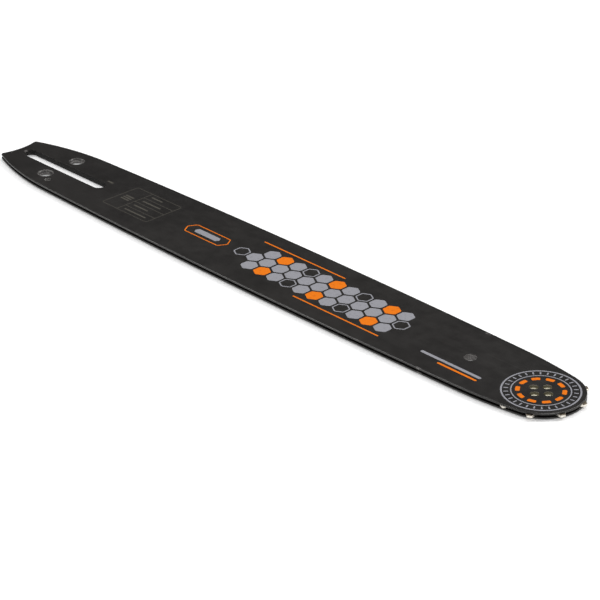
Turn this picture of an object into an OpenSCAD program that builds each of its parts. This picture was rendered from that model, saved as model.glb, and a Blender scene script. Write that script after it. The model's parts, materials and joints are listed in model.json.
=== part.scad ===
// Chainsaw guide bar for a 9 mm low profile chain, laminated from three steel plates.
// The bar lies flat, its nose towards +X. The origin is the middle of the stud slot,
// on the surface that the bar lies on, which the rivet heads under the nose just touch.

/* [Outline] */
// Length from the tail corners to the tip of the nose
bar_len = 429.8; // [300:0.1:520]
// Width of the bar at its widest
bar_w = 54.7; // [50:0.1:60]
// How much less the nose's radius is than half the widest width
nose_narrowing = 5.15; // [3:0.05:6]
// Distance of the widest point behind the nose axis, as a share of the bar's length
widest_share = 0.391; // [0.3:0.001:0.5]
// Fall of each crowned edge from the widest point to the tail corners
crown_fall = 5.84; // [3:0.01:8]
// Radius of the arc that blends an edge into the nose
nose_blend_r = 270; // [200:5:700]
// Width across the tail corners before they are rounded
tail_w = 25.5; // [22:0.1:32]
// Radius of the flank that draws each edge in at the tail
tail_flank_r = 158; // [90:1:200]
// Depth of the hollow in the tail end
tail_hollow = 2.3; // [0.5:0.1:3]
// Radius of the rounded tail corners
tail_corner_r = 1.6; // [1:0.1:4]
// Chamfer round the outer face of each side plate
rim_chamfer = 0.3; // [0.1:0.05:0.5]

/* [Plates] */
// Thickness of each side plate
side_t = 1.0; // [0.8:0.05:1.6]
// Thickness of the core plate, which is the gauge of the chain groove
core_t = 1.3; // [1.1:0.05:1.6]
// Depth of the chain groove below the rails
groove_depth = 6; // [5:0.1:8]
// Radius of the core plate's own tail corners
core_corner_r = 1.5; // [0.5:0.1:3]

/* [Mounting end] */
// Width of the stud slot
slot_w = 8.3; // [7:0.1:10]
// Length of the stud slot, end to end
slot_len = 71.7; // [55:0.1:90]
// Distance from the tail corners to the slot
slot_setback = 7.5; // [4:0.1:10]
// Diameter of the two holes for the chain tensioner
adjuster_d = 8; // [6:0.1:9]
// Diameter of the countersunk rim of a tensioner hole
adjuster_rim_d = 9.2; // [8:0.1:10]
// Depth of that countersunk rim
adjuster_rim_depth = 0.5; // [0.2:0.05:0.7]
// Distance between the centres of the two tensioner holes
adjuster_spacing = 23.2; // [20:0.1:28]
// Distance of the tensioner holes behind the middle of the slot
adjuster_back = 2.8; // [0:0.1:12]
// Diameter of the oil hole in each side plate
oil_hole_d = 4; // [2:0.1:4.5]
// Distance of an oil hole in from the bar's widest edge
oil_hole_inset = 10.95; // [9:0.05:12]
// Distance of the oil holes in front of the middle of the slot
oil_hole_ahead = 5.2; // [0:0.1:20]
// Clearance of the core plate's oil channel round the oil hole
oil_channel_clear = 0.3; // [0.1:0.05:0.6]

/* [Nose] */
// Diameter of the hole that the bar hangs by
hang_hole_d = 6.4; // [4:0.1:8]
// Distance of that hole behind the nose axis
hang_hole_back = 46; // [40:0.5:60]
// Number of teeth on the nose sprocket
tooth_count = 9; // [8:1:10]
// How far the teeth stand out past the nose
tooth_proud = 1.4; // [1:0.05:3]
// Width of a tooth at its tip
tooth_tip_w = 2.6; // [1.5:0.1:3.5]
// Angle between a tooth's flank and its own centre line
tooth_flank_angle = 26; // [20:1:30]
// Radius at the bottom of the gullets between the teeth
gullet_r = 3.2; // [2:0.1:4]
// Angle of the first tooth, round from the tip of the nose
sprocket_turn = -22.4; // [-40:0.1:40]
// Room left on each side of the sprocket and of the rollers
running_gap = 0.075; // [0.05:0.005:0.15]
// Room between the sprocket and the core plate behind it
pocket_gap = 0.8; // [0.4:0.1:2]

/* [Bearing] */
// Radius of the fixed inner race
race_r = 8.2; // [7.5:0.1:9]
// Diameter of a roller
roller_d = 2.8; // [2:0.1:3]
// Room between the rollers and each race
roller_gap = 0.1; // [0.05:0.01:0.15]
// Number of rollers round the race
roller_count = 21; // [16:1:21]

/* [Rivets] */
// Number of rivets through the nose
rivet_count = 4; // [3:1:4]
// Radius of the circle that the rivets stand on
rivet_circle_r = 4.7; // [4.5:0.05:5.5]
// Diameter of a rivet's shank
rivet_d = 3.2; // [2.5:0.1:3.6]
// Room between a shank and its hole
rivet_gap = 0.03; // [0.02:0.01:0.06]
// Diameter of a rivet head
rivet_head_d = 4.7; // [4:0.1:5]
// Height of the domed rivet head
rivet_head_h = 0.45; // [0.3:0.05:0.8]

/* [Hidden] */
$fn = 96;
// Overrun of every cut past the face that it leaves by
cut_over = 1;
// Number of chords in each round stretch of the outline
nose_steps = 24;
blend_steps = 8;
crown_steps = 12;
flank_steps = 12;
corner_steps = 6;
hollow_steps = 6;

// Heights, from the surface up
bar_z = rivet_head_h;
core_z = bar_z + side_t;
top_z = core_z + core_t;
bar_t = 2 * side_t + core_t;
all_t = bar_t + 2 * rivet_head_h;

// Radii of the nose and of the tips of the teeth
nose_r = bar_w / 2 - nose_narrowing;
tooth_tip_r = nose_r + tooth_proud;

// Places along and across the bar
tail_x = -slot_len / 2 - slot_setback;
nose_x = tail_x + bar_len - nose_r;
widest_x = nose_x - widest_share * bar_len;
oil_hole_side = bar_w / 2 - oil_hole_inset;
hang_x = nose_x - hang_hole_back;
nose = [nose_x, 0];

// Angle that the direction from one point to another makes with +X
function heading(from, to) = atan2(to[1] - from[1], to[0] - from[0]);

// Point at a distance and an angle from a centre
function polar(centre, r, a) = centre + r * [cos(a), sin(a)];

// Where two circles cross: turn is 1 for the crossing on the left of the way from c1 to c2
function crossing(c1, r1, c2, r2, turn) =
    let (d = norm(c2 - c1), a = acos((r1 * r1 + d * d - r2 * r2) / (2 * r1 * d)))
    polar(c1, r1, heading(c1, c2) + turn * a);

// Points of an arc without its first, so that arcs join without doubled points
function arc(centre, r, from, to, steps) =
    [for (i = [1:steps]) polar(centre, r, from + (to - from) * i / steps)];

// Centres of the arcs of the upper edge, each one tangent to the next
crown_run = widest_x - tail_x;
crown_r = (crown_run * crown_run + crown_fall * crown_fall) / (2 * crown_fall);
crown_c = [widest_x, bar_w / 2 - crown_r];
blend_c = crossing(nose, nose_blend_r - nose_r, crown_c, crown_r - nose_blend_r, -1);
flank_c = crossing([tail_x, tail_w / 2], tail_flank_r, crown_c, crown_r - tail_flank_r, 1);
hollow_r = (tail_w * tail_w / 4 + tail_hollow * tail_hollow) / (2 * tail_hollow);
hollow_c = [tail_x + tail_hollow - hollow_r, 0];

// Upper half of the outline, from the nose tip to the middle of the tail end.
// side is how far the edges are drawn in, end the same for the tail end.
function half_outline(side, end, corner) =
    let (
        corner_c = crossing(hollow_c, hollow_r + end + corner,
                            flank_c, tail_flank_r - side - corner, 1),
        nose_a = heading(blend_c, nose),
        blend_a = heading(crown_c, blend_c),
        crown_a = heading(crown_c, flank_c),
        flank_a = heading(flank_c, corner_c),
        corner_a = heading(corner_c, hollow_c),
        hollow_a = heading(hollow_c, corner_c)
    )
    concat(
        arc(nose, nose_r - side, 0, nose_a, nose_steps),
        arc(blend_c, nose_blend_r - side, nose_a, blend_a, blend_steps),
        arc(crown_c, crown_r - side, blend_a, crown_a, crown_steps),
        arc(flank_c, tail_flank_r - side, crown_a, flank_a, flank_steps),
        arc(corner_c, corner, flank_a, corner_a + (corner_a < 0 ? 360 : 0), corner_steps),
        arc(hollow_c, hollow_r + end, hollow_a, 0, hollow_steps)
    );

// Whole outline, round from the nose tip and back to it
function outline(side, end, corner) =
    let (half = half_outline(side, end, corner), n = len(half))
    concat(
        [[nose_x + nose_r - side, 0]],
        half,
        [for (i = [n - 2:-1:0]) [half[i][0], -half[i][1]]]
    );

// Solid through rings of points that lie at the given heights
module loft(rings, heights) {
    n = len(rings[0]);
    last = len(rings) - 1;
    polyhedron(
        points = [for (k = [0:last]) for (p = rings[k]) [p[0], p[1], heights[k]]],
        faces = concat(
            [[for (i = [0:n - 1]) i]],
            [for (k = [0:last - 1]) for (i = [0:n - 1])
                let (j = (i + 1) % n)
                [k * n + i, (k + 1) * n + i, (k + 1) * n + j, k * n + j]],
            [[for (i = [n - 1:-1:0]) last * n + i]]
        )
    );
}

// Round hole up through everything above z
module hole(d, place) {
    translate([place[0], place[1], -cut_over])
        cylinder(d = d, h = all_t + 2 * cut_over);
}

// Cut for the slot that the saw's studs stand in
module slot_cut() {
    half = (slot_len - slot_w) / 2;
    for (end = [-1, 1])
        hole(slot_w, [end * half, 0]);
    translate([-half, -slot_w / 2, -cut_over])
        cube([2 * half, slot_w, all_t + 2 * cut_over]);
}

// Holes that go through all three plates
module shared_holes() {
    slot_cut();
    for (side = [-1, 1])
        hole(adjuster_d, [-adjuster_back, side * adjuster_spacing / 2]);
    hole(hang_hole_d, [hang_x, 0]);
}

// One child at the place of each rivet
module at_rivets() {
    for (i = [0:rivet_count - 1])
        translate([nose_x, 0, 0])
            rotate([0, 0, i * 360 / rivet_count])
                translate([rivet_circle_r, 0, 0])
                    children();
}

// Side plate with its outer face up, its inner face on z = 0
module side_plate() {
    difference() {
        loft(
            [
                outline(0, 0, tail_corner_r),
                outline(0, 0, tail_corner_r),
                outline(rim_chamfer, rim_chamfer, tail_corner_r - rim_chamfer)
            ],
            [0, side_t - rim_chamfer, side_t]
        );
        shared_holes();
        for (side = [-1, 1])
            translate([-adjuster_back, side * adjuster_spacing / 2, side_t - adjuster_rim_depth])
                cylinder(d1 = adjuster_d, d2 = adjuster_rim_d, h = adjuster_rim_depth);
        hole(oil_hole_d, [oil_hole_ahead, -oil_hole_side]);
        at_rivets()
            hole(rivet_d + 2 * rivet_gap, [0, 0]);
    }
}

module side_plate_top() {
    color([0.18, 0.18, 0.17])
        translate([0, 0, top_z])
            side_plate();
}

// The same plate turned over about the bar's length, so its oil hole is on the other side
module side_plate_bottom() {
    color([0.15, 0.15, 0.14])
        translate([0, 0, core_z])
            rotate([180, 0, 0])
                side_plate();
}

// Core plate: set back by the groove's depth, and hollowed round the sprocket
module core_plate() {
    channel_w = oil_hole_d + 2 * oil_channel_clear;
    color([0.12, 0.12, 0.12])
        difference() {
            translate([0, 0, core_z])
                linear_extrude(height = core_t)
                    polygon(outline(groove_depth, 0, core_corner_r));
            shared_holes();
            hole(2 * (tooth_tip_r + pocket_gap), nose);
            for (side = [-1, 1]) {
                hole(channel_w, [oil_hole_ahead, side * oil_hole_side]);
                translate([oil_hole_ahead - channel_w / 2, side * oil_hole_side, -cut_over])
                    mirror([0, side < 0 ? 1 : 0, 0])
                        cube([channel_w, bar_w / 2, all_t + 2 * cut_over]);
            }
        }
}

// Gullet between two teeth, with its centre line along +X
module gullet() {
    half_pitch = 180 / tooth_count;
    opening = half_pitch + tooth_flank_angle;
    flank_y = tooth_tip_w / 2 + tooth_tip_r * tan(tooth_flank_angle);
    apex = flank_y / (tan(half_pitch) + tan(tooth_flank_angle)) / cos(half_pitch);
    centre = apex + gullet_r / sin(opening);
    touch = [centre - gullet_r * sin(opening), gullet_r * cos(opening)];
    reach = tooth_tip_r;
    translate([centre, 0])
        circle(r = gullet_r);
    polygon([
        [touch[0], -touch[1]],
        [touch[0] + reach, -touch[1] - reach * tan(opening)],
        [touch[0] + reach, touch[1] + reach * tan(opening)],
        touch
    ]);
}

module nose_sprocket() {
    bore_r = race_r + roller_d + 2 * roller_gap;
    color([0.80, 0.78, 0.72])
        translate([nose_x, 0, core_z + running_gap])
            rotate([0, 0, sprocket_turn])
                linear_extrude(height = core_t - 2 * running_gap)
                    difference() {
                        circle(r = tooth_tip_r);
                        circle(r = bore_r);
                        for (i = [0:tooth_count - 1])
                            rotate((i + 0.5) * 360 / tooth_count)
                                gullet();
                    }
}

// Fixed disc that the rollers run on, clamped between the side plates
module inner_race() {
    color([0.62, 0.62, 0.60])
        difference() {
            translate([nose_x, 0, core_z])
                cylinder(r = race_r, h = core_t);
            at_rivets()
                hole(rivet_d + 2 * rivet_gap, [0, 0]);
        }
}

// Half section of a domed head on the line z = 0
module head_section() {
    dome_r = (rivet_head_d * rivet_head_d / 4 + rivet_head_h * rivet_head_h) / (2 * rivet_head_h);
    intersection() {
        translate([0, rivet_head_h - dome_r])
            circle(r = dome_r);
        square([rivet_head_d / 2, rivet_head_h]);
    }
}

module nose_rivets() {
    color([0.70, 0.66, 0.52])
        at_rivets()
            translate([0, 0, bar_z])
                rotate_extrude()
                    union() {
                        square([rivet_d / 2, bar_t]);
                        translate([0, bar_t])
                            head_section();
                        mirror([0, 1])
                            head_section();
                    }
}

// Roller number i, counted round from the tip of the nose
module roller(i) {
    color([0.72, 0.72, 0.70])
        translate([nose_x, 0, core_z + running_gap])
            rotate([0, 0, (i - 1) * 360 / roller_count])
                translate([race_r + roller_gap + roller_d / 2, 0, 0])
                    cylinder(d = roller_d, h = core_t - 2 * running_gap);
}

function roller_name(i) = str("roller_", i < 10 ? "0" : "", i);

side_plate_top();
core_plate();
side_plate_bottom();
nose_sprocket();
inner_race();
nose_rivets();
for (i = [1:roller_count])
    roller(i);
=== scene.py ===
"""Looks of a chainsaw guide bar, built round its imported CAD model.

The bar lies flat on a pale floor with its nose towards +X. It is a core plate between two
black side plates. A toothed sprocket turns on rollers round a race, which four rivets hold.
The prints on the upper plate are plain patterns.
Every length is in metres, in the frame of the CAD model.
"""

import json
import logging
import math
from collections.abc import Callable, Iterable, Mapping, Sequence
from dataclasses import dataclass, field
from enum import Enum

import bmesh
import bpy
from mathutils import Matrix, Quaternion, Vector


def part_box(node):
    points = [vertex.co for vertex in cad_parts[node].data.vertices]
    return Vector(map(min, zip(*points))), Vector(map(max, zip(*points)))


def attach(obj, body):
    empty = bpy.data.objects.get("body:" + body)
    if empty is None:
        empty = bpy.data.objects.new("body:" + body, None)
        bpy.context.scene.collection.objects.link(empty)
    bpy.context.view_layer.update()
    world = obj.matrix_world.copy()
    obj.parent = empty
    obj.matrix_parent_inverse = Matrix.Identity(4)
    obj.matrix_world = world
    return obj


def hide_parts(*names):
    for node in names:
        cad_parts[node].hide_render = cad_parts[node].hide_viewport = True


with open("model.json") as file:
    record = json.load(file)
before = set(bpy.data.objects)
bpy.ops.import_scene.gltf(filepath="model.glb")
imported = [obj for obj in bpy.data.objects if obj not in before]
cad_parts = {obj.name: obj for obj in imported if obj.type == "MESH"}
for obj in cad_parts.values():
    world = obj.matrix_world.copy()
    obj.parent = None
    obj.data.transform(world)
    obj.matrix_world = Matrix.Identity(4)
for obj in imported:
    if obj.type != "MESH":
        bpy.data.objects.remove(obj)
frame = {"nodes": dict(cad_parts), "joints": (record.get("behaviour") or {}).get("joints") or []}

LOG = logging.getLogger("guide_bar")
MM = 0.001
FULL_TURN = 2 * math.pi
ROOT_THREE = math.sqrt(3)
HEXAGON_SIDES = 6
NOISE_MIDDLE = 0.5

Colour = tuple[float, float, float, float]
Ramp = tuple[float, float]
Shares = tuple[float, ...]
Bar = tuple[float, float, float, float]
Drawing = Callable[[bmesh.types.BMesh], None]


class Body(Enum):
    """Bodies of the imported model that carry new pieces."""

    BAR = "bar"
    SPROCKET = "sprocket"


class Slot(Enum):
    """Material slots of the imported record."""

    PAINT = "black_paint"
    CORE = "core_steel"
    SPROCKET = "sprocket_steel"
    RACE = "race_steel"
    RIVET = "rivet_steel"
    ROLLER = "roller_steel"
    GREY_INK = "grey_ink"
    ORANGE_INK = "orange_ink"
    ETCHED = "etched_line"


class Cell(Enum):
    """How one cell of the honeycomb is printed."""

    GREY = "grey"
    GREY_LINE = "grey line"
    ORANGE = "orange"
    ORANGE_LINE = "orange line"
    BARE = "bare"


def tint(red: float, green: float, blue: float) -> Colour:
    """Opaque linear colour."""
    return (red, green, blue, 1.0)


@dataclass(frozen=True)
class Noise:
    """Layer of smooth noise: features per metre, finer layers, and a factor for each axis."""

    scale: float
    detail: float
    stretch: tuple[float, float, float] | None = None


class Wire:
    """Output of a shader node, on which arithmetic adds Math nodes."""

    def __init__(self, graph: "Graph", socket: bpy.types.NodeSocket) -> None:
        """Keeps the graph that the socket belongs to."""
        self.graph = graph
        self.socket = socket

    def __add__(self, other: "Wire | float") -> "Wire":
        """Sum of two values."""
        return self.graph.math("ADD", self, other)

    def __sub__(self, other: "Wire | float") -> "Wire":
        """Difference of two values."""
        return self.graph.math("SUBTRACT", self, other)

    def __rsub__(self, other: float) -> "Wire":
        """Number less this value."""
        return self.graph.math("SUBTRACT", other, self)

    def __mul__(self, other: "Wire | float") -> "Wire":
        """Product of two values."""
        return self.graph.math("MULTIPLY", self, other)

    def __abs__(self) -> "Wire":
        """Size of the value without its sign."""
        return self.graph.math("ABSOLUTE", self)

    __radd__ = __add__
    __rmul__ = __mul__


class Graph:
    """Node tree of one material or world, with one method that adds any node."""

    # Numbers of a Mix node's sockets for colours.
    COLOUR_A = 6
    COLOUR_B = 7
    COLOUR_OUT = 2

    def __init__(self, owner: bpy.types.Material | bpy.types.World) -> None:
        """Empties the node tree of its owner.

        Args:
            owner: Material or world that the tree belongs to.
        """
        owner.use_nodes = True
        self.tree = owner.node_tree
        self.tree.nodes.clear()

    def add(
        self,
        kind: str,
        settings: Mapping[str, object] | None = None,
        inputs: Mapping[str | int, object] | None = None,
    ) -> bpy.types.Node:
        """Adds one node, sets it up and then feeds its sockets.

        Args:
            kind: Blender's type of the node.
            settings: Properties of the node by name.
            inputs: Values or wires by the name or number of the socket.

        Returns:
            The new node.
        """
        node = self.tree.nodes.new(kind)
        for name, value in (settings or {}).items():
            setattr(node, name, value)
        for key, value in (inputs or {}).items():
            if isinstance(value, Wire):
                self.tree.links.new(value.socket, node.inputs[key])
            else:
                node.inputs[key].default_value = value
        return node

    def wire(self, node: bpy.types.Node, output: str | int = 0) -> Wire:
        """Output of a node as a wire."""
        return Wire(self, node.outputs[output])

    def math(self, operation: str, *values: "Wire | float") -> Wire:
        """Result of a Math node on one or two values."""
        return self.wire(
            self.add("ShaderNodeMath", {"operation": operation}, dict(enumerate(values)))
        )

    def place(self) -> Wire:
        """Object coordinates, in metres."""
        return self.wire(self.add("ShaderNodeTexCoord"), "Object")

    def steepness(self) -> Wire:
        """Size of the vertical part of the surface's own normal, 1 on a level face."""
        normal = self.wire(self.add("ShaderNodeTexCoord"), "Normal")
        return abs(self.axes(normal)[2])

    def axes(self, vector: Wire) -> tuple[Wire, Wire, Wire]:
        """The three parts of a vector."""
        split = self.add("ShaderNodeSeparateXYZ", inputs={0: vector})
        return self.wire(split, 0), self.wire(split, 1), self.wire(split, 2)

    def stretched(self, vector: Wire, scale: Sequence[float]) -> Wire:
        """Vector with each part multiplied by its own scale."""
        return self.wire(
            self.add("ShaderNodeVectorMath", {"operation": "MULTIPLY"}, {0: vector, 1: scale})
        )

    def span(self, along: Wire, across: Wire) -> Wire:
        """Length of a flat offset."""
        return self.math("SQRT", along * along + across * across)

    def noise(self, at: Wire, layer: Noise) -> Wire:
        """Value of one layer of noise, about one half.

        Args:
            at: Coordinates in metres.
            layer: The layer.

        Returns:
            The noise value.
        """
        where = self.stretched(at, layer.stretch) if layer.stretch else at
        inputs = {"Vector": where, "Scale": layer.scale, "Detail": layer.detail}
        return self.wire(self.add("ShaderNodeTexNoise", inputs=inputs))

    def rise(self, value: Wire, start: float, end: float) -> Wire:
        """Eased share of the way that a value has gone from start to end."""
        return self.wire(
            self.add(
                "ShaderNodeMapRange",
                {"interpolation_type": "SMOOTHSTEP"},
                {"Value": value, "From Min": start, "From Max": end},
            )
        )

    def fall(self, value: Wire, start: float, end: float) -> Wire:
        """1 up to start and 0 from end on, eased between them."""
        return 1 - self.rise(value, start, end)

    def mixed(self, shares: Shares, values: Sequence[Wire]) -> Wire:
        """Sum of as many values as there are shares, each multiplied by its own share."""
        parts = [share * value for share, value in zip(shares, values, strict=True)]
        return sum(parts[1:], parts[0])

    def most(self, first: Wire, *others: Wire) -> Wire:
        """Largest of several values.

        Args:
            first: One value.
            others: The rest of them.

        Returns:
            The largest value.
        """
        largest = first
        for other in others:
            largest = self.math("MAXIMUM", largest, other)
        return largest

    def blend(self, share: Wire, first: "Wire | Colour", second: "Wire | Colour") -> Wire:
        """Colour between two colours."""
        inputs = {0: share, self.COLOUR_A: first, self.COLOUR_B: second}
        return self.wire(self.add("ShaderNodeMix", {"data_type": "RGBA"}, inputs), self.COLOUR_OUT)

    def relief(self, height: Wire, depth: float, strength: float) -> Wire:
        """Normal bent by a height, given as a share of the depth in metres."""
        inputs = {"Strength": strength, "Distance": depth, "Height": height}
        return self.wire(self.add("ShaderNodeBump", inputs=inputs))

    def shader(self, kind: str, inputs: Mapping[str | int, object]) -> Wire:
        """Output of a shader node."""
        return self.wire(self.add(kind, inputs=inputs))

    def output(self, shader: Wire, kind: str = "ShaderNodeOutputMaterial") -> None:
        """Feeds a shader to the tree's output."""
        self.add(kind, inputs={"Surface": shader})


@dataclass(frozen=True)
class Finish:
    """Finish of a surface. Each kind gives the inputs of a Principled shader."""

    name: str
    slot: Slot

    def surface(self, graph: Graph) -> dict[str, object]:
        """Inputs of the shader by name."""
        raise NotImplementedError

    def material(self) -> bpy.types.Material:
        """Makes the material once, and gives the same one afterwards.

        Returns:
            The material of this finish.
        """
        found = bpy.data.materials.get(self.name)
        if found:
            return found
        made = bpy.data.materials.new(self.name)
        graph = Graph(made)
        graph.output(graph.shader("ShaderNodeBsdfPrincipled", self.surface(graph)))
        return made


@dataclass(frozen=True)
class Bores:
    """Places of the holes and the slot, and masks round them: wear, soiling, lighter oil holes and
    painted highlights.
    """

    adjuster_x: float = -2.8 * MM
    adjuster_y: float = 11.6 * MM
    adjuster_r: float = 4.6 * MM
    hang_back: float = 46.0 * MM
    hang_r: float = 3.2 * MM
    oil_x: float = 5.2 * MM
    oil_y: float = 16.4 * MM
    oil_r: float = 2.4 * MM
    slot_half: float = 4.15 * MM
    slot_reach: float = 36.2 * MM
    upright: Ramp = (0.3, 0.6)
    # Painted highlight at the tail end of the slot: its place, size, strength and height.
    slot_end_highlight_x: float = -35.6 * MM
    slot_end_highlight_r: float = 1.7 * MM
    slot_end_highlight_core_share: float = 0.2
    slot_end_highlight_strength: float = 0.6
    slot_end_highlight_height: float = 1.2 * MM
    # Start of the painted highlight on the nose side of the tensioner holes, as a share of their
    # radius.
    nose_side_from_share: float = -0.5
    middle_z: float = 2.1 * MM
    inner_half: float = 1.62 * MM
    inner_share: float = 0.98
    rim: float = 0.12 * MM
    rim_share: float = 0.5

    def near(self, graph: Graph, distance: Wire) -> Wire:
        """1 up to the wall of a hole, given the distance outside it, and 0 beyond its rim."""
        return graph.fall(distance, self.rim_share * self.rim, self.rim)

    def bore_wall(self, graph: Graph, along: Wire, across: Wire, radius: float) -> Wire:
        """Mask of the wall and rim of a round hole, given the offset from its middle."""
        return self.near(graph, graph.span(along, across) - radius)

    def adjuster_walls(self, graph: Graph) -> Wire:
        """Mask of the walls and rims of the two tensioner holes."""
        x, y, _ = graph.axes(graph.place())
        return self.bore_wall(graph, x - self.adjuster_x, abs(y) - self.adjuster_y, self.adjuster_r)

    def nose_side_highlight(self, graph: Graph) -> Wire:
        """Share from the tail side to the nose side of the tensioner holes, for a painted highlight
        on their nose side.
        """
        along = graph.axes(graph.place())[0] - self.adjuster_x
        return graph.rise(along, self.nose_side_from_share * self.adjuster_r, self.adjuster_r)

    def hang_wall(self, graph: Graph, nose_x: float) -> Wire:
        """Mask of the wall and rim of the hang hole, given the place of the nose axis."""
        x, y, _ = graph.axes(graph.place())
        return self.bore_wall(graph, x - (nose_x - self.hang_back), y, self.hang_r)

    def oil_walls(self, graph: Graph) -> Wire:
        """Mask of the inside of the oil holes and of the channels below them.

        Args:
            graph: Node tree that it is added to.

        Returns:
            The mask.
        """
        x, y, z = graph.axes(graph.place())
        deep = self.inner_share * self.inner_half
        inside = graph.fall(abs(z - self.middle_z), deep, self.inner_half)
        wall = self.bore_wall(graph, x - self.oil_x, abs(y) - self.oil_y, self.oil_r)
        return inside * wall

    def slot_end_highlight(self, graph: Graph) -> Wire:
        """Mask of a painted highlight round the tail end of the slot, on its upper part.

        Args:
            graph: Node tree that it is added to.

        Returns:
            The mask.
        """
        x, y, z = graph.axes(graph.place())
        away = graph.span(x - self.slot_end_highlight_x, y)
        spot = graph.fall(away, self.slot_end_highlight_core_share * self.slot_end_highlight_r, self.slot_end_highlight_r)
        height = graph.rise(z, self.middle_z, self.middle_z + self.slot_end_highlight_height)
        return self.slot_end_highlight_strength * spot * height

    def slot_walls(self, graph: Graph) -> Wire:
        """Mask of the upright walls of the stud slot, which hold dust and old oil.

        Args:
            graph: Node tree that it is added to.

        Returns:
            The mask.
        """
        x, y, _ = graph.axes(graph.place())
        beside = self.near(graph, abs(y) - self.slot_half)
        along = self.near(graph, abs(x) - self.slot_reach)
        return beside * along * graph.fall(graph.steepness(), *self.upright)


@dataclass(frozen=True)
class Nick:
    """Bare nick in the paint of each long edge, near the nose."""

    back: float = 56.5 * MM
    half: float = 2.1 * MM
    core_share: float = 0.5
    side: float = 24.5 * MM
    fade: float = 0.4 * MM
    shift: float = 0.7 * MM
    tears: Noise = Noise(700.0, 2.0)
    tear_ramp: Ramp = (0.42, 0.56)
    strength: float = 0.45

    def mask(self, graph: Graph, place: Wire, nose_x: float) -> Wire:
        """Mask of the nick with its ragged edge.

        Args:
            graph: Node tree that it is added to.
            place: Object coordinates.
            nose_x: Place of the nose axis along the bar.

        Returns:
            The mask.
        """
        x, y, _ = graph.axes(place)
        away = abs(x - (nose_x - self.back))
        along = graph.fall(away, self.core_share * self.half, self.half)
        outer = graph.rise(abs(y + self.shift), self.side, self.side + self.fade)
        ragged = graph.rise(graph.noise(place, self.tears), *self.tear_ramp)
        return self.strength * along * outer * ragged


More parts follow.
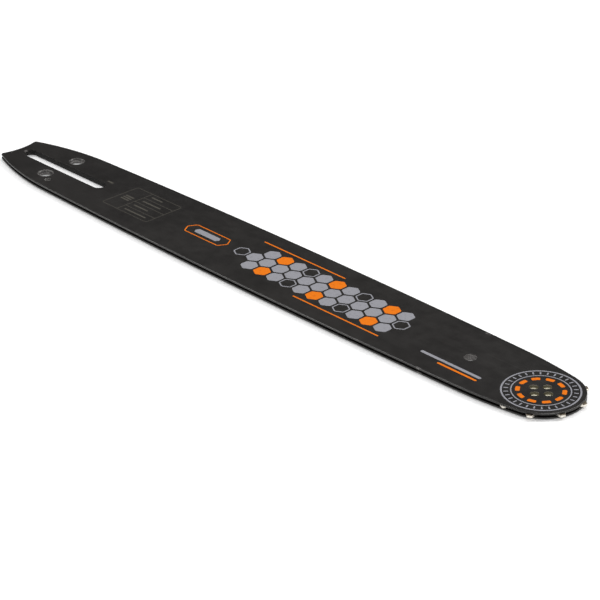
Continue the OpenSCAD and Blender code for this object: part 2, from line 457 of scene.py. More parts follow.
@dataclass(frozen=True)
class PaintFinish(Finish):
    """Satin black paint on steel: chamfers partly worn and partly painted lighter as a highlight,
    holes worn bare, painted highlights at the tensioner holes and the slot end.
    """

    nose_x: float
    deep: Colour = tint(0.0098, 0.0086, 0.0079)
    faded: Colour = tint(0.0170, 0.0152, 0.0138)
    # Lighter grey of the scratches, and of the chamfers, where it is partly wear and partly a
    # painted highlight.
    worn_and_lit_grey: Colour = tint(0.085, 0.082, 0.077)
    bare: Colour = tint(0.30, 0.285, 0.275)
    # Lighter grey inside the oil holes and their channels.
    oil_hole_lightening: Colour = tint(0.235, 0.227, 0.219)
    cloud: Noise = Noise(7.0, 3.0)
    mottle: Noise = Noise(26.0, 5.0)
    blotch: Noise = Noise(170.0, 3.0)
    drawn: Noise = Noise(900.0, 3.0, (0.02, 1.0, 1.0))
    hairs: Noise = Noise(420.0, 1.0, (0.05, 1.0, 1.0))
    chips: Noise = Noise(420.0, 3.0)
    speck: Noise = Noise(2600.0, 1.0)
    peel: Noise = Noise(900.0, 2.0)
    fade_shares: Shares = (0.30, 0.25, 0.25, 0.20)
    fade_ramp: Ramp = (0.38, 0.62)
    hair_ramp: Ramp = (0.73, 0.80)
    hair_field: Ramp = (0.50, 0.60)
    hair_strength: float = 0.16
    steep_side: Ramp = (0.10, 0.40)
    level_side: Ramp = (0.88, 0.985)
    patch_shares: Shares = (0.6, 0.4)
    patch_ramp: Ramp = (0.38, 0.62)
    # Even and patchy shares of the chamfers' lightening, which is partly wear and partly a painted
    # highlight.
    edge_wear_and_highlight_share: float = 0.20
    edge_patches: float = 0.45
    hole_wear: float = 0.10
    hole_patches: float = 0.32
    # Strength of the painted highlight on the nose side of the tensioner holes.
    nose_side_highlight_share: float = 0.24
    hang_wear: float = 0.26
    hang_patches: float = 0.50
    roughness: float = 0.37
    dull_shares: Shares = (0.10, 0.14, 0.12)
    metal_polish: float = 0.06
    dust_dull: float = 0.45
    oil_hole_dull: float = 0.35
    edge_sheen: float = 0.30
    metal_sheen: float = 0.55
    dust_sheen: float = 0.27
    gloss: float = 0.5
    peel_shares: Shares = (0.8, 0.2)
    peel_depth: float = 0.030 * MM
    peel_strength: float = 0.6
    nick: Nick = Nick()
    bores: Bores = Bores()

    def surface(self, graph: Graph) -> dict[str, object]:
        """Black paint with fading, worn chamfers with a painted highlight, a bare nick and bare
        holes.

        Args:
            graph: Node tree of the material.

        Returns:
            Inputs of the shader by name.
        """
        place = graph.place()
        level = graph.steepness()
        cloud = graph.noise(place, self.cloud)
        mottle = graph.noise(place, self.mottle)
        drawn = graph.noise(place, self.drawn)
        blotch = graph.noise(place, self.blotch)
        speck = graph.noise(place, self.speck)
        peel = graph.noise(place, self.peel)

        clouded = graph.mixed(self.fade_shares, (cloud, mottle, blotch, drawn))
        black = graph.blend(graph.rise(clouded, *self.fade_ramp), self.deep, self.faded)
        hairs = graph.rise(graph.noise(place, self.hairs), *self.hair_ramp)
        scratch = hairs * graph.rise(mottle, *self.hair_field)
        black = graph.blend(self.hair_strength * scratch, black, self.worn_and_lit_grey)

        chips = graph.noise(place, self.chips)
        patchy = graph.rise(graph.mixed(self.patch_shares, (mottle, chips)), *self.patch_ramp)
        # Chamfer faces, found by their slope, are painted lighter: partly worn paint, partly a
        # painted highlight along the rims.
        edge = graph.rise(level, *self.steep_side) * graph.fall(level, *self.level_side)
        edge_wear_and_highlight = edge * (self.edge_wear_and_highlight_share + self.edge_patches * patchy)
        # Tensioner hole walls: wear, plus a painted highlight on their nose side.
        nose_side_lit = self.nose_side_highlight_share * self.bores.nose_side_highlight(graph)
        hole = self.hole_wear + self.hole_patches * patchy + nose_side_lit
        adjusters = self.bores.adjuster_walls(graph) * hole
        hooked = self.hang_wear + self.hang_patches * patchy
        hang = self.bores.hang_wall(graph, self.nose_x) * hooked
        nick = self.nick.mask(graph, place, self.nose_x)
        # Lighter, more metallic mask: the bare nick and holes, with the painted highlights at the
        # tensioner holes and the slot end.
        metal = graph.most(nick, adjusters, hang, self.bores.slot_end_highlight(graph))
        # Mask of the lighter grey inside the oil holes and their channels.
        oil_hole_lightening = self.bores.oil_walls(graph)
        dusty = self.bores.slot_walls(graph)

        colour = graph.blend(edge_wear_and_highlight, black, self.worn_and_lit_grey)
        colour = graph.blend(metal, colour, self.bare)
        uneven = [layer - NOISE_MIDDLE for layer in (mottle, blotch, speck)]
        rough = self.roughness + graph.mixed(self.dull_shares, uneven)
        rough = rough - self.metal_polish * metal + self.dust_dull * dusty
        edge_sheen = self.edge_sheen * edge_wear_and_highlight
        sheen = graph.most(edge_sheen, self.metal_sheen * metal, self.dust_sheen * dusty)
        height = graph.mixed(self.peel_shares, (peel, drawn))
        return {
            "Base Color": graph.blend(oil_hole_lightening, colour, self.oil_hole_lightening),
            "Roughness": rough + self.oil_hole_dull * oil_hole_lightening,
            "Metallic": sheen * (1 - oil_hole_lightening),
            "Specular IOR Level": self.gloss,
            "Normal": graph.relief(height, self.peel_depth, self.peel_strength),
        }


@dataclass(frozen=True)
class CoreFinish(Finish):
    """Oiled matt black steel of the core plate, bare where the holes go through."""

    nose_x: float
    deep: Colour = tint(0.008, 0.0078, 0.0075)
    dull: Colour = tint(0.019, 0.018, 0.0165)
    bare: Colour = tint(0.22, 0.21, 0.205)
    # Lighter grey inside the oil holes and their channels.
    oil_hole_lightening: Colour = tint(0.34, 0.327, 0.314)
    mottle: Noise = Noise(240.0, 4.0)
    sawn: Noise = Noise(1500.0, 2.0, (1.0, 1.0, 0.08))
    film_ramp: Ramp = (0.35, 0.65)
    bare_ramp: Ramp = (0.30, 0.55)
    roughness: float = 0.52
    film_dull: float = 0.22
    bare_polish: float = 0.08
    dust_dull: float = 0.3
    film_sheen: float = 0.15
    bare_sheen: float = 0.4
    dust_sheen: float = 0.15
    sawn_depth: float = 0.015 * MM
    sawn_strength: float = 0.5
    bores: Bores = Bores()

    def surface(self, graph: Graph) -> dict[str, object]:
        """Dark steel with an uneven oil film.

        Args:
            graph: Node tree of the material.

        Returns:
            Inputs of the shader by name.
        """
        place = graph.place()
        mottle = graph.noise(place, self.mottle)
        round_walls = graph.most(
            self.bores.adjuster_walls(graph), self.bores.hang_wall(graph, self.nose_x)
        )
        hole = round_walls * graph.rise(mottle, *self.bare_ramp)
        oil_hole_lightening = self.bores.oil_walls(graph)
        dusty = self.bores.slot_walls(graph)
        dark = graph.blend(graph.rise(mottle, *self.film_ramp), self.deep, self.dull)
        colour = graph.blend(hole, dark, self.bare)
        rough = self.roughness + self.film_dull * (mottle - NOISE_MIDDLE)
        sheen = self.film_sheen + self.bare_sheen * hole + self.dust_sheen * dusty
        sawn = graph.noise(place, self.sawn)
        return {
            "Base Color": graph.blend(oil_hole_lightening, colour, self.oil_hole_lightening),
            "Roughness": rough - self.bare_polish * hole + self.dust_dull * dusty,
            "Metallic": sheen * (1 - oil_hole_lightening),
            "Normal": graph.relief(sawn, self.sawn_depth, self.sawn_strength),
        }


@dataclass(frozen=True)
class SteelFinish(Finish):
    """Bare steel with a ground grain, and old oil that browns it in places."""

    bright: Colour
    oiled: Colour
    oil_ramp: Ramp
    roughness: float
    grain: Noise = Noise(1400.0, 3.0)
    film: Noise = Noise(330.0, 4.0)
    pits_per_grain: float = 4.0
    pit_detail: float = 1.0
    grain_ramp: Ramp = (0.35, 0.65)
    grain_shade: float = 0.30
    level_ramp: Ramp = (0.80, 0.97)
    level_face_browning: float = 0.0
    grain_dull: float = 0.16
    oil_dull: float = 0.10
    metallic: float = 1.0
    coat: float = 0.0
    coat_roughness: float = 0.15
    relief_shares: Shares = (0.7, 0.3)
    relief_depth: float = 0.008 * MM
    relief_strength: float = 0.4

    def surface(self, graph: Graph) -> dict[str, object]:
        """Metal with an uneven oil film, browned more on its level faces.

        Args:
            graph: Node tree of the material.

        Returns:
            Inputs of the shader by name.
        """
        place = graph.place()
        grain = graph.noise(place, self.grain)
        film = graph.noise(place, self.film)
        pit_scale = self.pits_per_grain * self.grain.scale
        pits = graph.noise(place, Noise(pit_scale, self.pit_detail))
        level = graph.rise(graph.steepness(), *self.level_ramp)
        # Level faces are browned more, by their orientation.
        oil = graph.rise(film, *self.oil_ramp) + self.level_face_browning * level
        oil = graph.math("MINIMUM", oil, 1.0)
        ground = self.grain_shade * graph.rise(grain, *self.grain_ramp)
        steel = graph.blend(ground, self.bright, self.oiled)
        rough = self.roughness + self.grain_dull * (grain - NOISE_MIDDLE)
        height = graph.mixed(self.relief_shares, (grain, pits))
        return {
            "Base Color": graph.blend(oil, steel, self.oiled),
            "Roughness": rough + self.oil_dull * oil,
            "Metallic": self.metallic,
            "Coat Weight": self.coat,
            "Coat Roughness": self.coat_roughness,
            "Normal": graph.relief(height, self.relief_depth, self.relief_strength),
        }


@dataclass(frozen=True)
class InkFinish(Finish):
    """Screen ink, thin enough for the black below to show through in specks."""

    ink: Colour
    thin: Colour
    cover: Noise = Noise(520.0, 4.0)
    pinholes: Noise = Noise(2400.0, 2.0)
    cover_ramp: Ramp = (0.50, 0.72)
    pinhole_ramp: Ramp = (0.66, 0.74)
    worn_shares: Shares = (0.55, 0.45)
    roughness: float = 0.56
    cover_dull: float = 0.12
    weave_dull: float = 0.03
    gloss: float = 0.22
    weave_rate: float = 9000.0
    weave_middle: float = 0.5
    weave_depth: float = 0.003 * MM
    weave_strength: float = 0.25

    def surface(self, graph: Graph) -> dict[str, object]:
        """Ink with an uneven cover and a fine weave left by the screen.

        Args:
            graph: Node tree of the material.

        Returns:
            Inputs of the shader by name.
        """
        place = graph.place()
        cover = graph.noise(place, self.cover)
        pinholes = graph.rise(graph.noise(place, self.pinholes), *self.pinhole_ramp)
        x, y, _ = graph.axes(place)
        weave = graph.math("SINE", self.weave_rate * x) * graph.math("SINE", self.weave_rate * y)
        bald = graph.rise(cover, *self.cover_ramp)
        worn = graph.mixed(self.worn_shares, (bald, pinholes))
        rough = self.roughness + self.cover_dull * (cover - NOISE_MIDDLE)
        height = self.weave_middle + self.weave_middle * weave
        return {
            "Base Color": graph.blend(worn, self.ink, self.thin),
            "Roughness": rough + self.weave_dull * weave,
            "Specular IOR Level": self.gloss,
            "Normal": graph.relief(height, self.weave_depth, self.weave_strength),
        }


class Finishes:
    """Every finish of the bar, named after what it covers."""

    def __init__(self, nose_x: float) -> None:
        """Makes the finishes.

        Args:
            nose_x: Place of the nose axis along the bar.
        """
        self.paint = PaintFinish("satin_black_paint", Slot.PAINT, nose_x)
        self.core = CoreFinish("oiled_black_core", Slot.CORE, nose_x)
        self.teeth = SteelFinish(
            "sprocket_tooth_steel",
            Slot.SPROCKET,
            bright=tint(0.83, 0.80, 0.73),
            oiled=tint(0.30, 0.22, 0.13),
            oil_ramp=(0.60, 0.78),
            roughness=0.30,
            level_face_browning=0.70,
        )
        self.rivet = SteelFinish(
            "rivet_head_steel",
            Slot.RIVET,
            bright=tint(0.125, 0.112, 0.062),
            oiled=tint(0.092, 0.076, 0.036),
            oil_ramp=(0.40, 0.72),
            roughness=0.22,
            film=Noise(260.0, 4.0),
            metallic=0.5,
            coat=0.8,
            relief_depth=0.001 * MM,
        )
        self.race = SteelFinish(
            "ground_race_steel",
            Slot.RACE,
            bright=tint(0.55, 0.55, 0.53),
            oiled=tint(0.24, 0.20, 0.14),
            oil_ramp=(0.48, 0.70),
            roughness=0.28,
            grain=Noise(1400.0, 3.0, (1.0, 1.0, 12.0)),
        )
        self.roller = SteelFinish(
            "ground_roller_steel",
            Slot.ROLLER,
            bright=tint(0.68, 0.68, 0.66),
            oiled=tint(0.30, 0.25, 0.18),
            oil_ramp=(0.52, 0.74),
            roughness=0.20,
            grain=Noise(2200.0, 3.0, (1.0, 1.0, 10.0)),
        )
        self.grey_ink = InkFinish(
            "grey_screen_ink",
            Slot.GREY_INK,
            ink=tint(0.315, 0.315, 0.345),
            thin=tint(0.225, 0.225, 0.245),
        )
        self.orange_ink = InkFinish(
            "orange_screen_ink",
            Slot.ORANGE_INK,
            ink=tint(0.86, 0.200, 0.006),
            thin=tint(0.62, 0.125, 0.005),
            gloss=0.12,
        )
        self.etch = InkFinish(
            "dull_etched_line",
            Slot.ETCHED,
            ink=tint(0.080, 0.074, 0.062),
            thin=tint(0.050, 0.046, 0.039),
            roughness=0.60,
        )


@dataclass(frozen=True)
class EdgeBreak:
    """How the sharp edges of a machined piece are broken."""

    width: float
    segments: int = 2
    from_angle: float = math.radians(25)
    merge: float = 0.001 * MM
    level_angle: float = math.radians(0.05)


def mesh_of(name: str, shape: bmesh.types.BMesh) -> bpy.types.Mesh:
    """Makes a mesh of a shape.

    Args:
        name: Name of the mesh.
        shape: The shape, freed here.

    Returns:
        The new mesh.
    """
    data = bpy.data.meshes.new(name)
    shape.to_mesh(data)
    shape.free()
    return data


def add_object(name: str, data: bpy.types.ID) -> bpy.types.Object:
    """Makes an object of a mesh, a lamp or a camera, and adds it to the scene.

    Args:
        name: Name of the object.
        data: What it shows.

    Returns:
        The new object.
    """
    made = bpy.data.objects.new(name, data)
    bpy.context.scene.collection.objects.link(made)
    return made


def add_piece(name: str, shape: bmesh.types.BMesh, finish: Finish, body: Body) -> bpy.types.Object:
    """Makes an object of a finished shape, dresses it and lets it ride on a body.

    Args:
        name: Name of the piece.
        shape: Closed shape in the frame of the CAD model, freed here.
        finish: Finish of its whole surface.
        body: Body that carries it.

    Returns:
        The new object.
    """
    data = mesh_of(name, shape)
    imported_normals = data.attributes.get("custom_normal")
    if imported_normals:
        data.attributes.remove(imported_normals)
    data.materials.clear()
    data.materials.append(finish.material())
    piece = add_object(name, data)
    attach(piece, body.value)
    LOG.info("%s: %d faces on %s", name, len(data.polygons), body.value)
    return piece


def broken_edge_copy(node: str, name: str, edges: EdgeBreak, finish: Finish, body: Body) -> None:
    """Copies a CAD node, breaks its sharp edges and shows the copy in the node's place.

    Args:
        node: CAD node that is copied.
        name: Name of the new piece.
        edges: How its edges are broken.
        finish: Its finish.
        body: Body that carries it.
    """
    shape = bmesh.new()
    shape.from_mesh(frame["nodes"][node].data)
    bmesh.ops.remove_doubles(shape, verts=shape.verts, dist=edges.merge)
    bmesh.ops.dissolve_limit(
        shape, angle_limit=edges.level_angle, verts=shape.verts, edges=shape.edges
    )
    sharp = [edge for edge in shape.edges if edge.calc_face_angle(0.0) > edges.from_angle]
    bmesh.ops.bevel(
        shape,
        geom=sharp,
        offset=edges.width,
        offset_type="OFFSET",
        segments=edges.segments,
        profile=0.5,
        affect="EDGES",
        material=-1,
        clamp_overlap=True,
    )
    bmesh.ops.recalc_face_normals(shape, faces=shape.faces)
    for face in shape.faces:
        face.smooth = True
    piece = add_piece(name, shape, finish, body)
    weighted = piece.modifiers.new("level faces stay level", "WEIGHTED_NORMAL")
    weighted.mode = "FACE_AREA"
    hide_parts(node)


def dress(node: str, finish: Finish) -> None:
    """Gives a CAD node that is shown as it is a finish of its own.

    Args:
        node: CAD node that is dressed.
        finish: Its finish.
    """
    data = frame["nodes"][node].data
    data.materials.clear()
    data.materials.append(finish.material())
    LOG.info("%s: dressed in %s", node, finish.name)


@dataclass
class Plates:
    """The two side plates with their chamfered rims, and the core plate between them."""

    finishes: Finishes
    rim: EdgeBreak = EdgeBreak(width=0.07 * MM)

    def build(self) -> None:
        """Finishes the side plates and dresses the core plate."""
        paint = self.finishes.paint
        broken_edge_copy("side_plate_top", "upper_side_plate", self.rim, paint, Body.BAR)
        broken_edge_copy("side_plate_bottom", "lower_side_plate", self.rim, paint, Body.BAR)
        dress("core_plate", self.finishes.core)


@dataclass
class NoseBearing:
    """Sprocket, inner race, rollers and rivets in the nose."""

    finishes: Finishes
    tooth_edges: EdgeBreak = EdgeBreak(width=0.14 * MM, segments=3)
    rivet_edges: EdgeBreak = EdgeBreak(width=0.05 * MM)
    roller_count: int = 21

    def build(self) -> None:
        """Finishes the sprocket and the rivets, and dresses the race and the rollers."""
        teeth = self.finishes.teeth
        rivet = self.finishes.rivet
        broken_edge_copy("nose_sprocket", "sprocket_wheel", self.tooth_edges, teeth, Body.SPROCKET)
        broken_edge_copy("nose_rivets", "rivet_set", self.rivet_edges, rivet, Body.BAR)
        dress("inner_race", self.finishes.race)
        for number in range(1, self.roller_count + 1):
            dress(f"roller_{number:02d}", self.finishes.roller)


@dataclass
class PrintLayer:
    """One colour of a print: flat shapes that are rounded, hollowed and thickened together."""

    name: str
    level: float
    finish: Finish
    thickness: float = 0.02 * MM
    sink: float = 0.004 * MM
    corner_segments: int = 3
    parts: list[bpy.types.Mesh] = field(default_factory=list)

    def stamp(self, draw: Drawing, corner: float = 0.0, line: float = 0.0) -> None:
        """Adds shapes that share one corner radius and one line width.

        Args:
            draw: Adds flat faces at height zero to the shape that it is given.
            corner: Distance from each corner at which its rounding starts, or 0 for none.
            line: Width of the line that is left of each shape, or 0 for a filled one.
        """
        shape = bmesh.new()
        draw(shape)
        if corner:
            self.round_corners(shape, corner)
        if line:
            self.hollow(shape, line)
        self.thicken(shape)
        self.parts.append(mesh_of(f"{self.name}_part", shape))

    def round_corners(self, shape: bmesh.types.BMesh, corner: float) -> None:
        """Rounds the corners of flat faces."""
        bmesh.ops.bevel(
            shape,
            geom=[vert for vert in shape.verts if len(vert.link_edges) == 2],
            offset=corner,
            offset_type="OFFSET",
            segments=self.corner_segments,
            profile=0.5,
            affect="VERTICES",
            material=-1,
            clamp_overlap=True,
        )

    def hollow(self, shape: bmesh.types.BMesh, line: float) -> None:
        """Leaves a line of each flat face along its border.

        Args:
            shape: Flat faces.
            line: Width of the line.
        """
        filled = list(shape.faces)
        bmesh.ops.inset_individual(shape, faces=filled, thickness=line, use_even_offset=True)
        bmesh.ops.delete(shape, geom=filled, context="FACES")

    def thicken(self, shape: bmesh.types.BMesh) -> None:
        """Turns flat faces into a closed film that is sunk a little into the plate.

        Args:
            shape: Flat faces at height zero.
        """
        raised = bmesh.ops.extrude_face_region(shape, geom=list(shape.faces), use_keep_orig=True)
        verts = [item for item in raised["geom"] if isinstance(item, bmesh.types.BMVert)]
        bmesh.ops.translate(shape, verts=verts, vec=Vector((0, 0, self.thickness + self.sink)))
        bmesh.ops.translate(shape, verts=shape.verts, vec=Vector((0, 0, self.level - self.sink)))
        bmesh.ops.recalc_face_normals(shape, faces=shape.faces)

    def finish_piece(self) -> None:
        """Joins all shapes of the layer into one piece on the bar."""
        shape = bmesh.new()
        for part in self.parts:
            shape.from_mesh(part)
            bpy.data.meshes.remove(part)
        add_piece(self.name, shape, self.finish, Body.BAR)


def draw_bars(bars: Iterable[Bar]) -> Drawing:
    """Drawing of rectangles in line with the bar.

    Args:
        bars: Middle along and across the bar, length and width of each.

    Returns:
        The function that draws them.
    """

    def draw(shape: bmesh.types.BMesh) -> None:
        """Adds one flat face for each rectangle.

        Args:
            shape: Shape that they are added to.
        """
        for x, y, length, width in bars:
            halves = Matrix.Diagonal((length / 2, width / 2, 1, 1))
            placing = Matrix.Translation((x, y, 0)) @ halves
            bmesh.ops.create_grid(shape, x_segments=1, y_segments=1, size=1, matrix=placing)

    return draw


def draw_hexagons(
    centres: Iterable[tuple[float, float]], across_flats: float, stretch: float = 0.0
) -> Drawing:
    """Drawing of hexagons with two flats across the bar's length.

    Args:
        centres: Middles of the hexagons.
        across_flats: Distance between two opposite sides.
        stretch: Length by which each one is pulled out along the bar, if any. A stretched
            hexagon points along the bar.

    Returns:
        The function that draws them.
    """
    corner_r = across_flats / ROOT_THREE
    turn = FULL_TURN / 4 if stretch else 0.0

    def draw(shape: bmesh.types.BMesh) -> None:
        """Adds one flat face for each hexagon.

        Args:
            shape: Shape that they are added to.
        """
        for x, y in centres:
            placing = Matrix.Translation((x, y, 0)) @ Matrix.Rotation(turn, 4, "Z")
            made = bmesh.ops.create_circle(
                shape, cap_ends=True, radius=corner_r, segments=HEXAGON_SIDES, matrix=placing
            )
            for vert in made["verts"]:
                side = math.copysign(1.0, vert.co.x - x)
                vert.co.x += side * stretch / 2

    return draw


def draw_arcs(
    centre: Vector, radius: float, width: float, starts: Sequence[float], sweep: float, steps: int
) -> Drawing:
    """Drawing of flat arcs of one ring.

    Args:
        centre: Centre of the ring.
        radius: Radius of the middle of its line.
        width: Width of the line.
        starts: Angle at which each arc starts, in radians.
        sweep: Angle that each arc covers; a full turn closes the ring.
        steps: Number of faces in each arc.

    Returns:
        The function that draws them.
    """

    def draw(shape: bmesh.types.BMesh) -> None:
        """Spins a short radial edge into each arc.

        Args:
            shape: Shape that they are added to.
        """
        for start in starts:
            way = Vector((math.cos(start), math.sin(start), 0))
            ends = [shape.verts.new(centre + way * (radius + side * width / 2)) for side in (-1, 1)]
            bmesh.ops.spin(
                shape,
                geom=[*ends, shape.edges.new(ends)],
                cent=centre,
                axis=(0, 0, 1),
                angle=sweep,
                steps=steps,
                use_merge=math.isclose(sweep, FULL_TURN),
            )

    return draw


@dataclass
class Print:
    """Print on the upper side plate."""

    finishes: Finishes
    level: float

    def layer(self, name: str, finish: Finish) -> PrintLayer:
        """New layer of one colour on the plate."""
        return PrintLayer(name, self.level, finish)


@dataclass
class Honeycomb(Print):
    """Centre print: three staggered rows of cells between two pinstripes."""

    start_x: float = 152.0 * MM
    pitch: float = 9.9 * MM
    cell: float = 8.7 * MM
    columns: int = 13
    rows: tuple[int, ...] = (-1, 0, 1)
    stagger_share: float = 0.5
    row_shift: int = 2
    repeat: int = 4
    orange_line_every: int = 3
    corner: float = 0.7 * MM
    line: float = 0.7 * MM
    stripe_y: float = 16.6 * MM
    stripe_w: float = 0.9 * MM
    stripe_run: float = 62.0 * MM
    stripe_corner_share: float = 0.4

    def kind(self, column: int, row: int) -> Cell:
        """How a cell is printed, by its column and row.

        Args:
            column: Column from 0 at the tail side.
            row: Row, -1, 0 or 1.

        Returns:
            The kind of cell.
        """
        outermost = column in (0, self.columns - 1)
        step = (column + self.row_shift * row) % self.repeat
        if outermost:
            return Cell.BARE if row else Cell.GREY_LINE
        if row and step == 0:
            return Cell.ORANGE
        if row and step == self.repeat // 2:
            return Cell.GREY_LINE if column % self.orange_line_every else Cell.ORANGE_LINE
        return Cell.GREY

    def centres(self, kind: Cell) -> list[tuple[float, float]]:
        """Middles of all cells of one kind.

        Args:
            kind: The kind of cell.

        Returns:
            Place along and across the bar of each.
        """
        row_pitch = self.pitch * ROOT_THREE / 2
        return [
            (self.start_x + (column + self.stagger_share * (row % 2)) * self.pitch, row * row_pitch)
            for row in self.rows
            for column in range(self.columns)
            if self.kind(column, row) is kind
        ]

    def build(self) -> None:
        """Prints the grey cells, then the orange cells with their pinstripes."""
        grey = self.layer("honeycomb_grey", self.finishes.grey_ink)
        grey.stamp(draw_hexagons(self.centres(Cell.GREY), self.cell), self.corner)
        grey.stamp(draw_hexagons(self.centres(Cell.GREY_LINE), self.cell), self.corner, self.line)
        grey.finish_piece()
        orange = self.layer("honeycomb_orange", self.finishes.orange_ink)
        outlined = self.centres(Cell.ORANGE_LINE)
        orange.stamp(draw_hexagons(self.centres(Cell.ORANGE), self.cell), self.corner)
        orange.stamp(draw_hexagons(outlined, self.cell), self.corner, self.line)
        end_x = self.start_x + (self.columns - 1) * self.pitch
        stripes = (
            (self.start_x + self.stripe_run / 2, self.stripe_y, self.stripe_run, self.stripe_w),
            (end_x - self.stripe_run / 2, -self.stripe_y, self.stripe_run, self.stripe_w),
        )
        orange.stamp(draw_bars(stripes), self.stripe_corner_share * self.stripe_w)
        orange.finish_piece()


@dataclass
class Badge(Print):
    """Long hexagon in orange line with a plain grey lozenge inside."""

    x: float = 124.0 * MM
    flats: float = 10.4 * MM
    stretch: float = 21.0 * MM
    line: float = 0.65 * MM
    corner: float = 0.9 * MM
    inner_flats: float = 4.2 * MM
    inner_stretch: float = 14.5 * MM
    inner_corner_share: float = 0.5

    def build(self) -> None:
        """Prints the line and the lozenge."""
        middle = [(self.x, 0.0)]
        line = self.layer("badge_line", self.finishes.orange_ink)
        line.stamp(draw_hexagons(middle, self.flats, self.stretch), self.corner, self.line)
        line.finish_piece()
        lozenge = self.layer("badge_lozenge", self.finishes.grey_ink)
        inner_corner = self.inner_corner_share * self.corner
        lozenge.stamp(draw_hexagons(middle, self.inner_flats, self.inner_stretch), inner_corner)
        lozenge.finish_piece()


@dataclass
class BlankTable(Print):
    """Faint ruled panel near the slot, with plain bars in its cells."""

    left: float = 50.0 * MM
    right: float = 88.0 * MM
    half_height: float = 13.4 * MM
    line: float = 0.35 * MM
    corner: float = 1.6 * MM
    column_share: float = 0.34
    rows: int = 4
    bar_w: float = 1.1 * MM
    bar_corner_share: float = 0.4
    bar_shares: Shares = (0.72, 0.48, 0.60, 0.36)
    indent_share: float = 0.12
    side_bar_share: float = 0.18
    side_pitch_share: float = 1.8
    side_steps: tuple[int, ...] = (-1, 0, 1)

    def build(self) -> None:
        """Prints the frame, its rulings and the bars."""
        layer = self.layer("blank_table", self.finishes.etch)
        width = self.right - self.left
        panel = ((self.left + self.right) / 2, 0.0, width, 2 * self.half_height)
        layer.stamp(draw_bars([panel]), self.corner, self.line)
        layer.stamp(draw_bars(self.rulings(width)))
        layer.stamp(draw_bars(self.values(width)), self.bar_corner_share * self.bar_w)
        layer.finish_piece()

    def rulings(self, width: float) -> list[Bar]:
        """Ruled lines inside the frame.

        Args:
            width: Width of the frame.

        Returns:
            Middle, length and width of each line.
        """
        clear = 2 * self.line
        run = (1 - self.column_share) * width - clear
        column_x = self.left + self.column_share * width
        pitch = 2 * self.half_height / self.rows
        level_lines = [
            (column_x + run / 2 + self.line, row * pitch, run, self.line)
            for row in range(1 - self.rows // 2, self.rows // 2)
        ]
        upright = (column_x, 0.0, self.line, 2 * self.half_height - 2 * clear)
        return [upright, *level_lines]

    def values(self, width: float) -> list[Bar]:
        """Plain bars in the cells.

        Args:
            width: Width of the frame.

        Returns:
            Middle, length and width of each bar.
        """
        pitch = 2 * self.half_height / self.rows
        column_x = self.left + self.column_share * width
        run = (1 - self.column_share) * width
        start = column_x + self.indent_share * run
        bars = []
        for row, share in enumerate(self.bar_shares):
            length = share * run
            y = (2 * row + 1 - self.rows) * pitch / 2
            bars.append((start + length / 2, y, length, self.bar_w))
        side_x = self.left + self.column_share * width / 2
        side_pitch = self.side_pitch_share * self.bar_w
        side_run = self.side_bar_share * width
        for step in self.side_steps:
            bars.append((side_x, step * side_pitch, side_run, self.bar_w))
        return bars


@dataclass
class NoseDial(Print):
    """Print round the rivets: two grey rings with ticks between them and orange dashes inside."""

    centre: Vector
    outer_r: float = 19.3 * MM
    outer_w: float = 0.85 * MM
    inner_r: float = 14.6 * MM
    inner_w: float = 0.6 * MM
    tick_r: float = 17.0 * MM
    tick_len: float = 2.3 * MM
    tick_w: float = 0.75 * MM
    tick_count: int = 30
    tick_steps: int = 1
    dash_r: float = 11.4 * MM
    dash_w: float = 2.3 * MM
    dash_count: int = 10
    dash_share: float = 0.62
    dash_steps: int = 4
    ring_steps: int = 144
    corner_share: float = 0.3

    def build(self) -> None:
        """Prints the rings with their ticks, then the dashes."""
        grey = self.layer("dial_rings", self.finishes.grey_ink)
        for radius, width in ((self.outer_r, self.outer_w), (self.inner_r, self.inner_w)):
            ring = draw_arcs(self.centre, radius, width, (0.0,), FULL_TURN, self.ring_steps)
            grey.stamp(ring)
        sweep = self.tick_w / self.tick_r
        starts = self.spread(self.tick_count, sweep)
        ticks = draw_arcs(self.centre, self.tick_r, self.tick_len, starts, sweep, self.tick_steps)
        grey.stamp(ticks, self.corner_share * self.tick_w)
        grey.finish_piece()
        orange = self.layer("dial_dashes", self.finishes.orange_ink)
        sweep = self.dash_share * FULL_TURN / self.dash_count
        starts = self.spread(self.dash_count, sweep)
        dashes = draw_arcs(self.centre, self.dash_r, self.dash_w, starts, sweep, self.dash_steps)
        orange.stamp(dashes, self.corner_share * self.dash_w)
        orange.finish_piece()

    def spread(self, count: int, sweep: float) -> list[float]:
        """Starting angles of evenly spread marks."""
        return [index * FULL_TURN / count - sweep / 2 for index in range(count)]


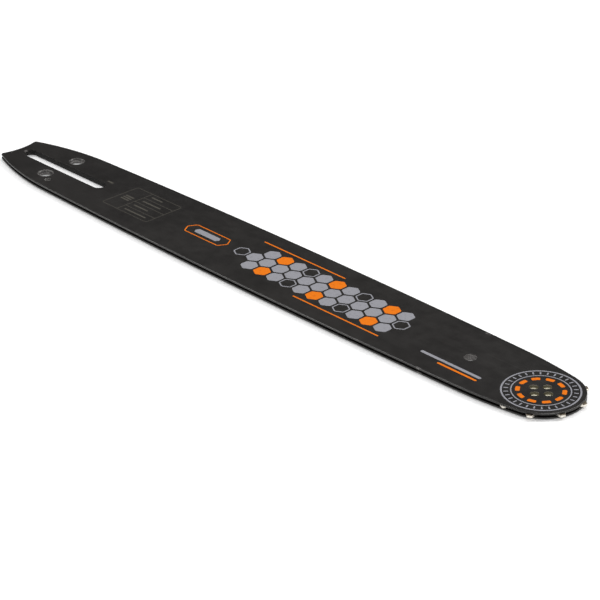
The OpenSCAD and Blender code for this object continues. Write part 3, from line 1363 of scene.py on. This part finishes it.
@dataclass
class EdgeStripes(Print):
    """Two short stripes behind the nose dial, and a small mark beside the slot."""

    nose_x: float
    grey_back: float = 48.0 * MM
    grey_y: float = -12.2 * MM
    grey_run: float = 40.0 * MM
    grey_w: float = 1.9 * MM
    orange_back: float = 41.0 * MM
    orange_y: float = -15.4 * MM
    orange_run: float = 26.0 * MM
    orange_w: float = 1.3 * MM
    stripe_corner_share: float = 0.45
    mark_x: float = 33.4 * MM
    mark_y: float = 6.9 * MM
    mark_len: float = 5.0 * MM
    mark_w: float = 1.3 * MM
    mark_corner_share: float = 0.4

    def build(self) -> None:
        """Prints the two stripes and the mark."""
        inks = self.finishes
        grey = (self.nose_x - self.grey_back, self.grey_y, self.grey_run, self.grey_w)
        self.stripe("grey_stripe", inks.grey_ink, grey, self.stripe_corner_share)
        orange = (self.nose_x - self.orange_back, self.orange_y, self.orange_run, self.orange_w)
        self.stripe("orange_stripe", inks.orange_ink, orange, self.stripe_corner_share)
        mark = (self.mark_x, self.mark_y, self.mark_len, self.mark_w)
        self.stripe("slot_mark", inks.etch, mark, self.mark_corner_share)

    def stripe(self, name: str, finish: Finish, bar: Bar, corner_share: float) -> None:
        """Prints one stripe with rounded ends as a piece of its own.

        Args:
            name: Name of the piece.
            finish: Its finish.
            bar: Its middle, length and width.
            corner_share: Start of each corner's rounding, as a share of the width.
        """
        *_, width = bar
        layer = self.layer(name, finish)
        layer.stamp(draw_bars([bar]), corner_share * width)
        layer.finish_piece()


@dataclass(frozen=True)
class Lamp:
    """Soft rectangular lamp: its place, the width and height of its face, and its watts."""

    name: str
    place: tuple[float, float, float]
    size: tuple[float, float]
    power: float


@dataclass
class Studio:
    """Pale floor, soft lamps, a plain world and the camera of the photograph."""

    eye: Vector = field(default_factory=lambda: Vector((1.009185, -0.776465, 0.572560)))
    aim: Vector = field(default_factory=lambda: Vector((0.214856, -0.017309, 0.00375)))
    roll: float = math.radians(-0.3325)
    lens: float = 143.674
    sensor: float = 36.0
    nearest: float = 0.01
    farthest: float = 50.0
    floor_half: float = 6.0
    floor_lift: float = 0.25
    floor_shade: Colour = tint(0.89, 0.89, 0.89)
    white: Colour = tint(1.0, 1.0, 1.0)
    near_r: float = 0.45
    far_r: float = 1.3
    horizon: float = 0.72
    ceiling: float = 0.065
    horizon_ramp: Ramp = (0.02, 0.16)
    lamps: tuple[Lamp, ...] = (
        Lamp("back_softbox", (-0.516, 0.689, 2.284), (2.0, 0.62), 23.0),
        Lamp("far_key_light", (0.97, 1.60, 1.60), (0.8, 0.8), 25.0),
        Lamp("near_edge_light", (-0.95, -1.05, 1.15), (0.9, 0.5), 9.0),
        Lamp("right_fill_light", (1.75, -0.55, 1.90), (1.0, 1.0), 20.0),
        Lamp("under_fill_light", (0.20, 0.0, -3.0), (3.0, 3.0), 30.0),
    )

    def build(self) -> None:
        """Sets up the camera, the floor, the world and the lamps."""
        self.camera()
        self.floor()
        self.world()
        for lamp in self.lamps:
            self.light(lamp)
        bpy.context.scene.view_settings.view_transform = "Standard"

    def camera(self) -> None:
        """Places the camera where the photograph was taken from."""
        data = bpy.data.cameras.new("photo_camera")
        data.lens = self.lens
        data.sensor_width = self.sensor
        data.clip_start = self.nearest
        data.clip_end = self.farthest
        camera = add_object("photo_camera", data)
        self.point(camera, self.eye)
        camera.rotation_quaternion @= Quaternion((0, 0, 1), self.roll)
        bpy.context.scene.camera = camera

    def point(self, thing: bpy.types.Object, place: Vector) -> None:
        """Places the camera or a lamp and points it at the middle of the bar.

        Args:
            thing: Camera or lamp.
            place: Where it stands.
        """
        thing.location = place
        thing.rotation_mode = "QUATERNION"
        thing.rotation_quaternion = (self.aim - place).to_track_quat("-Z", "Y")

    def floor(self) -> None:
        """Lays the floor that the bar lies on. From below it is clear, as it is to the lamps."""
        shape = bmesh.new()
        bmesh.ops.create_grid(shape, x_segments=1, y_segments=1, size=self.floor_half)
        floor = add_object("floor", mesh_of("floor", shape))
        floor.data.materials.append(self.floor_material())

    def floor_material(self) -> bpy.types.Material:
        """Matt pale floor, lifted to the white of the photograph's background.

        Returns:
            The floor's material.
        """
        material = bpy.data.materials.new("pale_floor")
        graph = Graph(material)
        seen = self.seen_directly(graph)
        x, y, _ = graph.axes(graph.place())
        far = graph.rise(graph.span(x - self.aim.x, y), self.near_r, self.far_r)
        lit = graph.shader("ShaderNodeBsdfDiffuse", {"Color": self.floor_shade})
        lift = graph.shader("ShaderNodeEmission", {"Strength": self.floor_lift * seen})
        white = graph.shader("ShaderNodeEmission", {"Strength": 1.0})
        near = graph.shader("ShaderNodeAddShader", {0: lit, 1: lift})
        top = graph.shader("ShaderNodeMixShader", {0: far * seen, 1: near, 2: white})
        clear = graph.shader("ShaderNodeBsdfTransparent", {})
        below = graph.wire(graph.add("ShaderNodeNewGeometry"), "Backfacing")
        shadow = graph.wire(graph.add("ShaderNodeLightPath"), "Is Shadow Ray")
        open_share = graph.most(below, shadow)
        graph.output(graph.shader("ShaderNodeMixShader", {0: open_share, 1: top, 2: clear}))
        return material

    def seen_directly(self, graph: Graph) -> Wire:
        """1 for rays from the camera, and for those that metal or glass sends on.

        Args:
            graph: Node tree that it is added to.

        Returns:
            The value.
        """
        path = graph.add("ShaderNodeLightPath")
        glossy = graph.wire(path, "Is Glossy Ray")
        passed = graph.wire(path, "Is Transmission Ray")
        return graph.math("MINIMUM", graph.wire(path, "Is Camera Ray") + glossy + passed, 1.0)

    def world(self) -> None:
        """Makes a world that is pale low down and dark higher up, and white to the camera."""
        world = bpy.data.worlds.new("studio")
        bpy.context.scene.world = world
        graph = Graph(world)
        way = graph.wire(graph.add("ShaderNodeTexCoord"), "Generated")
        high = graph.rise(graph.axes(way)[2], *self.horizon_ramp)
        level = self.horizon + (self.ceiling - self.horizon) * high
        camera = graph.wire(graph.add("ShaderNodeLightPath"), "Is Camera Ray")
        inputs = {"Color": self.white, "Strength": graph.most(level, camera)}
        background = graph.shader("ShaderNodeBackground", inputs)
        graph.output(background, "ShaderNodeOutputWorld")

    def light(self, lamp: Lamp) -> None:
        """Adds a lamp that faces the middle of the bar.

        Args:
            lamp: Name, place, size and power of the lamp.
        """
        data = bpy.data.lights.new(lamp.name, "AREA")
        data.shape = "RECTANGLE"
        data.size, data.size_y = lamp.size
        data.energy = lamp.power
        self.point(add_object(lamp.name, data), Vector(lamp.place))


def main() -> None:
    """Builds every sub-assembly."""
    logging.basicConfig(level=logging.INFO, format="%(message)s")
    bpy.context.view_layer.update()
    nose = Vector(frame["joints"][0]["pos_m"])
    axis = Vector((nose.x, nose.y, 0.0))
    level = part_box("side_plate_top")[1].z
    finishes = Finishes(nose.x)
    Studio().build()
    Plates(finishes).build()
    NoseBearing(finishes).build()
    Honeycomb(finishes, level).build()
    Badge(finishes, level).build()
    BlankTable(finishes, level).build()
    NoseDial(finishes, level, axis).build()
    EdgeStripes(finishes, level, nose.x).build()


if __name__ == "__main__":
    main()
